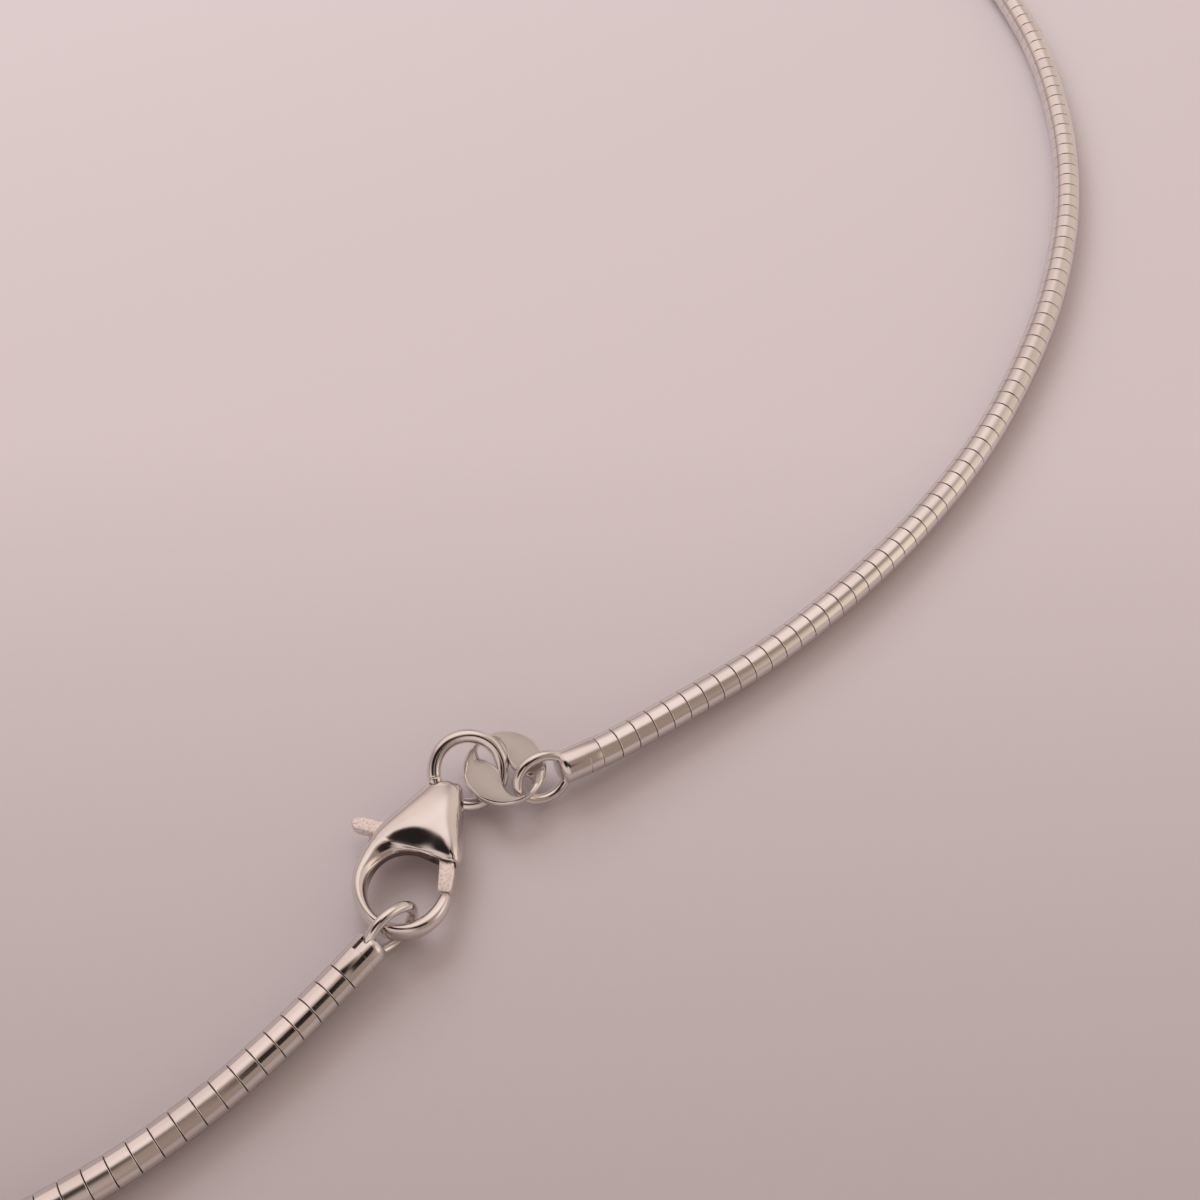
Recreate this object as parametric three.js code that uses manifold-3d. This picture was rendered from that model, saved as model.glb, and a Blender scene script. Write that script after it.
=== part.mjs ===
// An omega necklace: a round chain of thin plates, closed by a lobster clasp, a wire ring and a flat tag.
// Millimetres, +Z up. The necklace lies on the plane z = 0 with its clasp at the front (-Y).
import * as THREE from "three";
import Module from "manifold-3d";
import { mergeVertices } from "three/addons/utils/BufferGeometryUtils.js";

const wasm = await Module();
wasm.setup();

// Driving dimensions
const chainDiameter = 2.0;
const chainSides = 12;
const chainStep = 4.0;
const chainRest = 0.97;
const neckWidth = 160.6;
const neckDepth = 110.1;
const fitGap = 0.12;
const pinGap = 0.08;

const capLength = 2.3;
const capEdge = [[0, 0.56], [0.14, 0.2], [0.4, 0]];
const capSlotGrip = 0.06;
const capSlotDepth = 0.9;

const loopWire = 0.62;
const loopLength = 4.06;
const loopWidth = 3.14;

const ringWire = 0.84;
const ringDiameter = 4.84;

const tagDiameter = 4.9;
const tagThickness = 0.5;

const claspThickness = 2.4;
const claspHeight = 1.35;
const claspTurn = 33.3;
const bodyFront = 1.2;
const bodyLength = 5.9;
const bodyBluntness = 0.84;
const mouthRadius = 2.25;
const mouthCentre = [0.12, 0.1];
const gateShoulder = 2.05;
const gateEdge = -0.9;
const hookRadius = 2.55;
const hookCentre = [0.12, 0.18];
const hookTipAngle = 270;
const headHole = 1.5;

const leverThickness = 0.7;
const gateWidth = 0.84;
const gateLength = 2.75;
const gateOffset = 0.34;
const armWidth = 0.86;
const armLength = 5.6;
const armAngle = 83.9;
const gateAngle = 183;
const leverTurn = 25;
const slotGap = 0.14;
const pinDiameter = 0.44;
const pinLength = 1.3;
const eyeDiameter = 1.24;

// Sides of round shapes, from the thin wires to the wide curves
const wireSides = 10;
const hookSides = 12;
const pinSides = 16;
const roundSides = 20;
const hookSteps = 26;
const loopSteps = 28;
const ringSteps = 32;
const wideSteps = 40;

// Where the pieces lie, from a point on the floor between the two end caps
const leftCap = { end: [-7.3, -0.25], height: 1.5, heading: -2, roll: 80 };
const rightCap = { end: [7.58, -0.22], height: 1.53, heading: 162, roll: -52 };
const ringPlace = { centre: [3.773, 3.649, 1.575], rise: 32.9, lean: -4.6, facing: 52 };
const tagPlace = { centre: [5.244, 2.153, 1.663], turn: -42.7 };
const claspPlace = [-3.826, 0.783];
const pivot = [3.0, -1.5];

// The chain's route from one cap to the other, chosen by hand: shares of the loop's width and depth, and
// the height where it's lifted
const chainRoute = [
  [0.0940, -0.0209, 1.15], [0.1339, -0.0332], [0.1806, -0.0404], [0.2260, -0.0409],
  [0.2771, -0.0332], [0.3269, -0.0163], [0.3798, 0.0104], [0.4359, 0.0522],
  [0.4888, 0.1090], [0.5386, 0.1844], [0.5809, 0.2861], [0.6040, 0.4087],
  [0.5990, 0.5450], [0.5641, 0.6767], [0.4981, 0.7947], [0.4078, 0.8856],
  [0.2989, 0.9382], [0.1743, 0.9591], [0.0498, 0.9573], [-0.0747, 0.9292],
  [-0.1930, 0.8647], [-0.2895, 0.7675], [-0.3611, 0.6403], [-0.3960, 0.4950],
  [-0.3923, 0.3451], [-0.3518, 0.2089], [-0.2864, 0.1026], [-0.2148, 0.0381],
  [-0.1588, 0.0082], [-0.1202, -0.0018], [-0.0903, -0.0041, 1.14],
];

// The clasp's body, section by section from its front to its head: edges to the left and right of its axis
const bodySections = [
  { along: 0.0, left: 1.0, right: -0.84, height: 0.86 },
  { along: 0.2, left: 0.99, right: -0.86, height: 0.97 },
  { along: 0.4, left: 0.87, right: -0.83, height: 1.0 },
  { along: 0.58, left: 0.65, right: -0.77, height: 0.99 },
  { along: 0.76, left: 0.39, right: -0.71, height: 0.92 },
  { along: 0.9, left: 0.19, right: -0.64, height: 0.84 },
  { along: 0.97, left: 0.08, right: -0.55, height: 0.66 },
  { along: 1.0, left: -0.06, right: -0.4, height: 0.36 },
];
const bodyHalfWidth = 3.05;

// The hook, from inside the body round to its tip: half its width and half its height as shares
const hookSections = [
  { turn: 0.0, width: 1.0, height: 1.0 },
  { turn: 0.3, width: 0.98, height: 0.86 },
  { turn: 0.6, width: 0.78, height: 0.74 },
  { turn: 0.97, width: 0.66, height: 0.66 },
  { turn: 1.0, width: 0.4, height: 0.4 },
];
const hookHalfWidth = 0.54;
const hookHalfHeight = 0.92;
const hookStartAngle = 66;

// Half of the tag's double-curved opening, as shares of the tag's radius; the other half mirrors it
const tagOpening = [[-0.61, 0.55], [-0.35, 0.8], [-0.04, 0.74], [0.1, 0.45], [0.27, 0.14]];

const chainRadius = chainDiameter / 2;
const radians = THREE.MathUtils.degToRad;

const metalFinish = { color: 0xd9d2cd, roughness: 0.16, metalness: 1 };
const chainFinish = { color: 0xd6d0ca, roughness: 0.2, metalness: 1 };
const gateFinish = { color: 0xcfc6c0, roughness: 0.42, metalness: 1 };

const necklace = new THREE.Group();

function addPiece(name, geometry, finish, parent = necklace) {
  const mesh = new THREE.Mesh(geometry, new THREE.MeshStandardMaterial(finish));
  mesh.name = name;
  parent.add(mesh);
  return mesh;
}

// Closed solids as manifolds, and back to geometries
function toSolid(geometry) {
  const bare = geometry.index ? geometry.clone() : geometry;
  bare.deleteAttribute("normal");
  bare.deleteAttribute("uv");
  const merged = mergeVertices(bare, 1e-4);
  const vertProperties = new Float32Array(merged.attributes.position.array);
  const triVerts = new Uint32Array(merged.index.array);
  return new wasm.Manifold(new wasm.Mesh({ numProp: 3, vertProperties, triVerts }));
}

function toGeometry(solid) {
  const mesh = solid.getMesh();
  const geometry = new THREE.BufferGeometry();
  geometry.setAttribute("position", new THREE.BufferAttribute(new Float32Array(mesh.vertProperties), 3));
  geometry.setIndex(new THREE.BufferAttribute(new Uint32Array(mesh.triVerts), 1));
  geometry.computeVertexNormals();
  return geometry;
}

// A closed skin over rings of points: capped at both ends, or joined into a loop
function skin(rings, closed = false) {
  const sides = rings[0].length;
  const points = rings.flat();
  const faces = [];
  const spans = closed ? rings.length : rings.length - 1;
  for (let i = 0; i < spans; i += 1) {
    const a = i * sides;
    const b = ((i + 1) % rings.length) * sides;
    for (let j = 0; j < sides; j += 1) {
      const k = (j + 1) % sides;
      faces.push(a + j, a + k, b + k, a + j, b + k, b + j);
    }
  }
  if (!closed) {
    const last = (rings.length - 1) * sides;
    for (let j = 1; j < sides - 1; j += 1) {
      faces.push(0, j + 1, j, last, last + j, last + j + 1);
    }
  }
  const geometry = new THREE.BufferGeometry();
  const values = points.flatMap((p) => [p.x, p.y, p.z]);
  geometry.setAttribute("position", new THREE.Float32BufferAttribute(values, 3));
  geometry.setIndex(faces);
  geometry.computeVertexNormals();
  return geometry;
}

// A blunt ellipse of points about a centre, in the plane of two directions
function bluntRing(centre, across, up, halfWidth, halfHeight, sides, bluntness = 1) {
  const ring = [];
  for (let i = 0; i < sides; i += 1) {
    const angle = (2 * Math.PI * i) / sides;
    const x = Math.sign(Math.cos(angle)) * Math.abs(Math.cos(angle)) ** bluntness * halfWidth;
    const z = Math.sign(Math.sin(angle)) * Math.abs(Math.sin(angle)) ** bluntness * halfHeight;
    ring.push(centre.clone().addScaledVector(across, x).addScaledVector(up, z));
  }
  return ring;
}

// A plate of an outline, standing on z = 0 before it is moved
function plate(shape, thickness, curveSteps) {
  const settings = { depth: thickness, bevelEnabled: false, curveSegments: curveSteps };
  return new THREE.ExtrudeGeometry(shape, settings);
}

// The point on a cap's axis, a little behind its back end, where the chain starts
function chainEnd(place) {
  const reach = capLength + fitGap;
  const heading = radians(place.heading);
  const x = place.end[0] - reach * Math.cos(heading);
  const y = place.end[1] - reach * Math.sin(heading);
  return new THREE.Vector3(x, y, place.height);
}

function chain() {
  const middle = chainRoute.map(([across, back, height = chainRest]) => (
    new THREE.Vector3(across * neckWidth, back * neckDepth, height)
  ));
  const route = [chainEnd(rightCap), ...middle, chainEnd(leftCap)];
  const curve = new THREE.CatmullRomCurve3(route, false, "centripetal");
  const section = new THREE.Shape();
  for (let i = 0; i < chainSides; i += 1) {
    const angle = (2 * Math.PI * i) / chainSides;
    const x = chainRadius * Math.cos(angle);
    const y = chainRadius * Math.sin(angle);
    if (i === 0) {
      section.moveTo(x, y);
    } else {
      section.lineTo(x, y);
    }
  }
  section.closePath();
  const steps = Math.round(curve.getLength() / chainStep);
  return new THREE.ExtrudeGeometry(section, { steps, bevelEnabled: false, extrudePath: curve });
}

// An end cap along +X with its wire loop soldered into the slot of its rounded end
function endCap() {
  const profile = [
    new THREE.Vector2(0, -capLength),
    new THREE.Vector2(chainRadius, -capLength),
    ...capEdge.map(([inward, back]) => new THREE.Vector2(chainRadius - inward, -back)),
    new THREE.Vector2(0, 0),
  ];
  const barrel = new THREE.LatheGeometry(profile, roundSides).rotateZ(-Math.PI / 2);
  const slot = new THREE.BoxGeometry(2 * capSlotDepth, chainDiameter + fitGap, loopWire - capSlotGrip);
  const halfLength = (loopLength - loopWire) / 2;
  const halfWidth = (loopWidth - loopWire) / 2;
  const middle = loopLength / 2 - capSlotDepth;
  const wireRadius = loopWire / 2;
  const rings = [];
  for (let i = 0; i < loopSteps; i += 1) {
    const angle = (2 * Math.PI * i) / loopSteps;
    const centre = new THREE.Vector3(middle + halfLength * Math.cos(angle), halfWidth * Math.sin(angle), 0);
    const out = new THREE.Vector3(Math.cos(angle) / halfLength, Math.sin(angle) / halfWidth, 0).normalize();
    rings.push(bluntRing(centre, out, new THREE.Vector3(0, 0, -1), wireRadius, wireRadius, wireSides));
  }
  const loop = toSolid(skin(rings, true));
  return toGeometry(toSolid(barrel).subtract(toSolid(slot)).add(loop));
}

function placeCap(mesh, place) {
  mesh.rotation.set(radians(place.roll), 0, radians(place.heading), "ZYX");
  mesh.position.set(place.end[0], place.end[1], place.height);
}

function claspRing() {
  return new THREE.TorusGeometry((ringDiameter - ringWire) / 2, ringWire / 2, wireSides, ringSteps);
}

function placeRing(mesh) {
  const { rise, lean, facing } = ringPlace;
  mesh.rotation.set(radians(rise), radians(-lean), radians(facing - 90), "ZXY");
  mesh.position.set(...ringPlace.centre);
}

function tag() {
  const outline = new THREE.Shape();
  outline.absarc(0, 0, tagDiameter / 2, 0, 2 * Math.PI);
  const half = tagOpening.map(([x, y]) => new THREE.Vector2(x, y).multiplyScalar(tagDiameter / 2));
  const loop = [...half, ...half.map((p) => p.clone().negate())].map((p) => new THREE.Vector3(p.x, p.y, 0));
  const smooth = new THREE.CatmullRomCurve3(loop, true, "centripetal");
  const points = smooth.getPoints(wideSteps).slice(0, wideSteps);
  outline.holes.push(new THREE.Path(points.map((p) => new THREE.Vector2(p.x, p.y))));
  return plate(outline, tagThickness, roundSides).translate(0, 0, -tagThickness / 2);
}

function placeTag(mesh) {
  mesh.rotation.z = radians(tagPlace.turn);
  mesh.position.set(...tagPlace.centre);
}

// The room that a straight arm sweeps as it turns clockwise about the pivot
function sweptRoom(startAngle, turn, halfWidth, reach) {
  const start = radians(startAngle);
  const end = radians(startAngle - turn);
  const room = new THREE.Shape();
  const [px, py] = pivot;
  room.moveTo(px - halfWidth * Math.sin(start), py + halfWidth * Math.cos(start));
  room.lineTo(
    px + reach * Math.cos(start) - halfWidth * Math.sin(start),
    py + reach * Math.sin(start) + halfWidth * Math.cos(start),
  );
  room.lineTo(
    px + reach * Math.cos(end) + halfWidth * Math.sin(end),
    py + reach * Math.sin(end) - halfWidth * Math.cos(end),
  );
  room.lineTo(px + halfWidth * Math.sin(end), py - halfWidth * Math.cos(end));
  room.absarc(px, py, halfWidth, end - Math.PI / 2, start + Math.PI / 2 - 2 * Math.PI, true);
  return room;
}

// The lever: a flat gate and a thumb arm in one plate, turning on the pin
function lever() {
  const [px, py] = pivot;
  const arm = new THREE.BoxGeometry(armLength, armWidth, leverThickness).translate(armLength / 2, 0, 0);
  const gate = new THREE.BoxGeometry(gateLength, gateWidth, leverThickness);
  gate.translate(gateLength / 2, gateOffset, 0);
  const eye = new THREE.CylinderGeometry(eyeDiameter / 2, eyeDiameter / 2, leverThickness, roundSides);
  eye.rotateX(Math.PI / 2);
  const boreRadius = pinDiameter / 2 + pinGap;
  const bore = new THREE.CylinderGeometry(boreRadius, boreRadius, 2 * leverThickness, pinSides);
  bore.rotateX(Math.PI / 2);
  arm.rotateZ(radians(armAngle));
  gate.rotateZ(radians(gateAngle));
  const solid = toSolid(arm).add(toSolid(gate)).add(toSolid(eye)).subtract(toSolid(bore));
  return toGeometry(solid).translate(px, py, 0);
}

// The clasp's hollow body with its hook, in the clasp's own frame: +X runs to the head
function claspBody() {
  const up = new THREE.Vector3(0, 0, 1);
  const across = new THREE.Vector3(0, 1, 0);
  const rings = bodySections.map((row) => {
    const left = row.left * bodyHalfWidth;
    const right = row.right * bodyHalfWidth;
    const centre = new THREE.Vector3(bodyFront + row.along * bodyLength, (left + right) / 2, 0);
    const halfHeight = (row.height * claspThickness) / 2;
    return bluntRing(centre, across, up, (left - right) / 2, halfHeight, roundSides, bodyBluntness);
  });
  const hookRings = [];
  for (let i = 0; i <= hookSteps; i += 1) {
    const turn = i / hookSteps;
    const angle = radians(hookStartAngle + (hookTipAngle - hookStartAngle) * turn);
    const row = sectionAt(turn);
    const out = new THREE.Vector3(Math.cos(angle), Math.sin(angle), 0);
    const centre = out.clone().multiplyScalar(hookRadius).add(new THREE.Vector3(...hookCentre, 0));
    const halfWidth = row.width * hookHalfWidth;
    const halfHeight = row.height * hookHalfHeight;
    hookRings.push(bluntRing(centre, out, up, halfWidth, halfHeight, hookSides).reverse());
  }
  const cutHeight = 2 * claspThickness;
  const mouth = new THREE.CylinderGeometry(mouthRadius, mouthRadius, cutHeight, wideSteps);
  mouth.rotateX(Math.PI / 2).translate(...mouthCentre, 0);
  const side = new THREE.BoxGeometry(bodyLength, bodyHalfWidth, cutHeight);
  side.translate(gateShoulder - bodyLength / 2, gateEdge - bodyHalfWidth / 2, 0);
  const slotHeight = leverThickness + 2 * slotGap;
  const armSide = armWidth / 2 + slotGap;
  const armReach = bodyFront + bodyLength;
  const armRoom = plate(sweptRoom(armAngle, leverTurn, armSide, armReach), slotHeight, pinSides);
  const gateReach = gateWidth / 2 + gateOffset + slotGap;
  const gateRoom = plate(sweptRoom(gateAngle, leverTurn, gateReach, gateLength), slotHeight, pinSides);
  const eyeReach = eyeDiameter / 2 + slotGap;
  const eyeRoom = new THREE.CylinderGeometry(eyeReach, eyeReach, slotHeight, roundSides);
  eyeRoom.rotateX(Math.PI / 2).translate(pivot[0], pivot[1], 0);
  armRoom.translate(0, 0, -slotHeight / 2);
  gateRoom.translate(0, 0, -slotHeight / 2);
  const pinReach = pinDiameter / 2 + pinGap;
  const pinRoom = new THREE.CylinderGeometry(pinReach, pinReach, pinLength + 2 * fitGap, pinSides);
  pinRoom.rotateX(Math.PI / 2).translate(pivot[0], pivot[1], 0);
  let solid = toSolid(skin(rings)).subtract(toSolid(mouth)).subtract(toSolid(side));
  solid = solid.add(toSolid(skin(hookRings)));
  solid = solid.subtract(toSolid(armRoom)).subtract(toSolid(gateRoom)).subtract(toSolid(eyeRoom));
  return solid.subtract(toSolid(pinRoom)).subtract(toSolid(headBore()));
}

function sectionAt(turn) {
  const next = Math.max(1, hookSections.findIndex((row) => row.turn >= turn));
  const from = hookSections[next - 1];
  const to = hookSections[next];
  const share = (turn - from.turn) / (to.turn - from.turn);
  return {
    width: from.width + (to.width - from.width) * share,
    height: from.height + (to.height - from.height) * share,
  };
}

const ringMesh = addPiece("clasp_ring", claspRing(), metalFinish);
placeRing(ringMesh);

const claspFrame = new THREE.Group();
claspFrame.position.set(claspPlace[0], claspPlace[1], claspHeight);
claspFrame.rotation.z = radians(claspTurn);
necklace.add(claspFrame);

// The ring's own path through the head, cleared as a wider ring
function headBore() {
  ringMesh.updateMatrixWorld(true);
  claspFrame.updateMatrixWorld(true);
  const path = new THREE.TorusGeometry((ringDiameter - ringWire) / 2, headHole / 2, hookSides, wideSteps);
  return path.applyMatrix4(claspFrame.matrixWorld.clone().invert().multiply(ringMesh.matrixWorld));
}

const leftCapMesh = addPiece("end_cap_hook_side", endCap(), metalFinish);
placeCap(leftCapMesh, leftCap);
const rightCapMesh = addPiece("end_cap_tag_side", endCap(), metalFinish);
placeCap(rightCapMesh, rightCap);
addPiece("omega_chain", chain(), chainFinish);
placeTag(addPiece("tag", tag(), metalFinish));

addPiece("clasp_body", toGeometry(claspBody()), metalFinish, claspFrame);
addPiece("clasp_lever", lever(), gateFinish, claspFrame);
const pinGeometry = new THREE.CylinderGeometry(pinDiameter / 2, pinDiameter / 2, pinLength, pinSides);
pinGeometry.rotateX(Math.PI / 2).translate(pivot[0], pivot[1], 0);
addPiece("lever_pin", pinGeometry, metalFinish, claspFrame);

// The origin is under the middle of the whole loop, on the surface that it lies on
const extent = new THREE.Box3().setFromObject(necklace, true);
necklace.position.set(-(extent.min.x + extent.max.x) / 2, -(extent.min.y + extent.max.y) / 2, -extent.min.z);
const placed = new THREE.Group();
placed.add(necklace);

export default placed;
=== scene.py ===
import math
import random

import bmesh
import bpy
from mathutils import Matrix, Vector


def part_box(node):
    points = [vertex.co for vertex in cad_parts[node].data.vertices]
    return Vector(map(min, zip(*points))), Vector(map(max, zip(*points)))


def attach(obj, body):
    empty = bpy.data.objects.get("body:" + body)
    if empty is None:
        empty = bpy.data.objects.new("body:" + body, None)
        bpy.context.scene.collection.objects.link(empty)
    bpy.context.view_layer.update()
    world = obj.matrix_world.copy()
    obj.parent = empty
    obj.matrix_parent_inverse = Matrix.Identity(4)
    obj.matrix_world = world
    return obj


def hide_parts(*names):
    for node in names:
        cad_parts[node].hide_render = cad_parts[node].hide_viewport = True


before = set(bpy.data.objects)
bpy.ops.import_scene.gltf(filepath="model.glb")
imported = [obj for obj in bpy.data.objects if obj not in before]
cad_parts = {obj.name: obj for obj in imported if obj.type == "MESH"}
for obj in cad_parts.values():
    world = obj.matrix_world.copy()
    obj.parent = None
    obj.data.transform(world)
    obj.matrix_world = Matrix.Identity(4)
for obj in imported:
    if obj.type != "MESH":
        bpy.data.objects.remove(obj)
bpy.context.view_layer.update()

mm = 0.001
body = "necklace"
weld = 0.001
closeBy = 0.01

# Where the pieces lie, in millimetres from a point on the floor between the two end caps
hookCapPlace = {"end": (-7.3, -0.25, 1.5), "heading": -2, "roll": 80, "pitch": -5, "yaw": 4, "slot": 0.95,
                "seam": (0.9, -38)}
tagCapPlace = {"end": (7.58, -0.22, 1.53), "heading": 162, "roll": -52, "pitch": -4, "yaw": 0, "slot": 0.1,
               "seam": (1.5, -32)}
ringPlace = {"centre": (3.773, 3.649, 1.575), "rise": 32.9, "lean": -4.6, "facing": 52}
tagPlace = {"centre": (5.244, 2.153, 1.663), "turn": -42.7}
claspPlace = {"centre": (-3.826, 0.783, 1.35), "turn": 33.3}

ringLow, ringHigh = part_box("clasp_ring")
floorPoint = (ringLow + ringHigh) / 2 / mm - Vector(ringPlace["centre"])


# Working helpers

def clamp(value):
    return min(1, max(0, value))


def turned(angle, axis):
    return Matrix.Rotation(math.radians(angle), 4, axis)


def placed(centre):
    return Matrix.Translation(floorPoint + Vector(centre))


def clearSelection():
    if bpy.context.object and bpy.context.object.mode != "OBJECT":
        bpy.ops.object.mode_set(mode="OBJECT")
    bpy.ops.object.select_all(action="DESELECT")


def pick(piece):
    clearSelection()
    piece.select_set(True)
    bpy.context.view_layer.objects.active = piece
    return piece


def named(name):
    piece = bpy.context.object
    piece.name = name
    piece.data.name = name
    return piece


def applyShape(piece):
    pick(piece)
    bpy.ops.object.transform_apply(location=True, rotation=True, scale=True)
    return piece


def applyAll(piece):
    pick(piece)
    for modifier in list(piece.modifiers):
        bpy.ops.object.modifier_apply(modifier=modifier.name)
    return piece


def combine(piece, other, operation):
    modifier = piece.modifiers.new("combine", "BOOLEAN")
    modifier.operation = operation
    modifier.solver = "EXACT"
    modifier.object = other
    applyAll(piece)
    bpy.data.objects.remove(other, do_unlink=True)
    return piece


def selectEdges(piece, wanted):
    pick(piece)
    bpy.ops.object.mode_set(mode="EDIT")
    bpy.ops.mesh.select_mode(type="EDGE")
    bpy.ops.mesh.select_all(action="DESELECT")
    shape = bmesh.from_edit_mesh(piece.data)
    for edge in shape.edges:
        if wanted(edge):
            edge.select_set(True)
    bmesh.update_edit_mesh(piece.data)


def cleanUp(piece, distance=0.0005):
    pick(piece)
    bpy.ops.object.mode_set(mode="EDIT")
    bpy.ops.mesh.select_all(action="SELECT")
    bpy.ops.mesh.remove_doubles(threshold=distance)
    bpy.ops.mesh.normals_make_consistent(inside=False)
    bpy.ops.object.mode_set(mode="OBJECT")
    return piece


def setDown(piece, place, angle):
    # shades the piece and moves its mesh to its place, in metres
    pick(piece)
    bpy.ops.object.shade_smooth_by_angle(angle=math.radians(angle))
    piece.data.transform(Matrix.Scale(mm, 4) @ place)
    piece.data.update()
    return piece


def hand(piece, material, slotName, *nodes, rides=body):
    piece.data.materials.clear()
    piece.data.materials.append(material)
    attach(piece, rides)
    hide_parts(*nodes)


# Materials

class Wire:
    def __init__(self, tree, socket):
        self.tree = tree
        self.socket = socket

    def math(self, operation, left, right):
        node = self.tree.nodes.new("ShaderNodeMath")
        node.operation = operation
        for place, value in ((0, left), (1, right)):
            if isinstance(value, Wire):
                self.tree.links.new(value.socket, node.inputs[place])
            else:
                node.inputs[place].default_value = value
        return Wire(self.tree, node.outputs[0])

    def __add__(self, other): return self.math("ADD", self, other)
    def __radd__(self, other): return self.math("ADD", other, self)
    def __sub__(self, other): return self.math("SUBTRACT", self, other)
    def __mul__(self, other): return self.math("MULTIPLY", self, other)


class Nodes:
    def __init__(self, tree):
        self.tree = tree

    def node(self, kind, settings=None, inputs=None, output=0):
        node = self.tree.nodes.new(kind)
        for key, value in (settings or {}).items():
            setattr(node, key, value)
        for key, value in (inputs or {}).items():
            self.feed(node.inputs[key], value)
        return Wire(self.tree, node.outputs[output])

    def feed(self, socket, value):
        if isinstance(value, Wire):
            self.tree.links.new(value.socket, socket)
        else:
            socket.default_value = value

    def place(self):
        return self.node("ShaderNodeTexCoord", output="Object")

    def noise(self, scale, detail=3, roughness=0.5, stretch=(1, 1, 1)):
        spot = self.node("ShaderNodeMapping", inputs={"Vector": self.place(), "Scale": stretch})
        inputs = {"Vector": spot, "Scale": scale, "Detail": detail, "Roughness": roughness}
        return self.node("ShaderNodeTexNoise", inputs=inputs)

    def ramp(self, value, low, high):
        inputs = {"Value": value, "From Min": low, "From Max": high}
        return self.node("ShaderNodeMapRange", inputs=inputs)

    def tint(self, share, first, second):
        first, second = (color if isinstance(color, Wire) else (*color, 1) for color in (first, second))
        inputs = {"Factor": share, 6: first, 7: second}
        return self.node("ShaderNodeMix", {"data_type": "RGBA"}, inputs, output=2)

    def facing(self, way, aim):
        settings = {"operation": "DOT_PRODUCT"}
        return self.node("ShaderNodeVectorMath", settings, {0: way, 1: aim}, output="Value")

    def attribute(self, name):
        return self.node("ShaderNodeAttribute", {"attribute_name": name}, output="Fac")

    def bump(self, height, strength, distance):
        inputs = {"Height": height, "Strength": strength, "Distance": distance}
        return self.node("ShaderNodeBump", inputs=inputs)


class Finish(Nodes):
    def __init__(self, name):
        self.material = bpy.data.materials.new(name)
        self.material.use_nodes = True
        super().__init__(self.material.node_tree)
        self.shader = self.tree.nodes["Principled BSDF"]

    def shade(self, **inputs):
        for key, value in inputs.items():
            self.feed(self.shader.inputs[key.replace("_", " ")], value)
        return self.material


whiteMetal = (0.83, 0.79, 0.77)
wornMetal = (0.74, 0.70, 0.68)
finePolish = {"strength": 0.05, "distance": 0.04 * mm}


def polishedMetal(name="polishedMetal", shaded=False):
    # shaded: uses the attribute of painted shade, a dark brown painted on the inner wall of the clasp's
    # mouth
    finish = Finish(name)
    cloud = finish.noise(420, detail=4)
    scratches = finish.noise(900, detail=6, roughness=0.7, stretch=(1, 7, 3))
    wear = finish.ramp(cloud, 0.35, 0.75)
    color = finish.tint(wear, whiteMetal, wornMetal)
    if shaded:
        # painted shade: dark brown where the mouth's inner wall lies in shade
        color = finish.tint(finish.attribute("shade"), color, (0.20, 0.125, 0.10))
    roughness = 0.085 + wear * 0.07 + finish.ramp(scratches, 0.55, 0.8) * 0.08
    normal = finish.bump(scratches + cloud * 1.6, **finePolish)
    return finish.shade(Base_Color=color, Metallic=1.0, Roughness=roughness, Normal=normal)


def chainMetal():
    finish = Finish("chainPlates")
    grooveShade = finish.attribute("grooveShade")
    plate = finish.attribute("plate")
    cloud = finish.noise(500, detail=4)
    scratches = finish.noise(1100, detail=5, roughness=0.7, stretch=(1, 5, 3))
    bright = finish.tint(plate, (0.82, 0.78, 0.76), (0.76, 0.72, 0.70))
    # painted shade: the grooves between plates are tinted near black
    color = finish.tint(grooveShade, bright, (0.03, 0.022, 0.02))
    roughness = 0.10 + finish.ramp(cloud, 0.35, 0.75) * 0.07 + plate * 0.03 + grooveShade * 0.4
    normal = finish.bump(scratches + cloud, **finePolish)
    return finish.shade(Base_Color=color, Metallic=1.0, Roughness=roughness, Normal=normal)


def satinTag():
    # flat lobes with a satin face, polished on the edges
    finish = Finish("satinTag")
    face = finish.attribute("face")
    cloud = finish.noise(500, detail=4)
    grain = finish.noise(3000, detail=4, roughness=0.6)
    color = finish.tint(face, whiteMetal, (0.50, 0.465, 0.44))
    roughness = 0.10 + face * 0.25 + cloud * 0.06
    normal = finish.bump(grain, strength=0.12, distance=0.03 * mm)
    return finish.shade(Base_Color=color, Metallic=1.0, Roughness=roughness, Normal=normal)


def stampedMetal():
    # rough and pitted, brown in the pits
    finish = Finish("stampedMetal")
    grain = finish.noise(5200, detail=5, roughness=0.65)
    pits = finish.ramp(finish.noise(6500, detail=3, roughness=0.7), 0.30, 0.52)
    color = finish.tint(pits, (0.60, 0.47, 0.41), (0.86, 0.79, 0.76))
    roughness = 0.28 + grain * 0.22
    normal = finish.bump(grain * 0.6 + pits * 0.4, strength=0.4, distance=0.05 * mm)
    return finish.shade(Base_Color=color, Metallic=1.0, Roughness=roughness, Normal=normal)


# the paper's own pale colour with a painted light falloff: darker near the camera, paler far away
paperLightFalloff = {
    "away": (0.735, 0.678, 0),
    "nearEdge": -21,
    "farEdge": 34,
    "near": (0.565, 0.515, 0.53),
    "far": (0.79, 0.73, 0.76),
}


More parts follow.
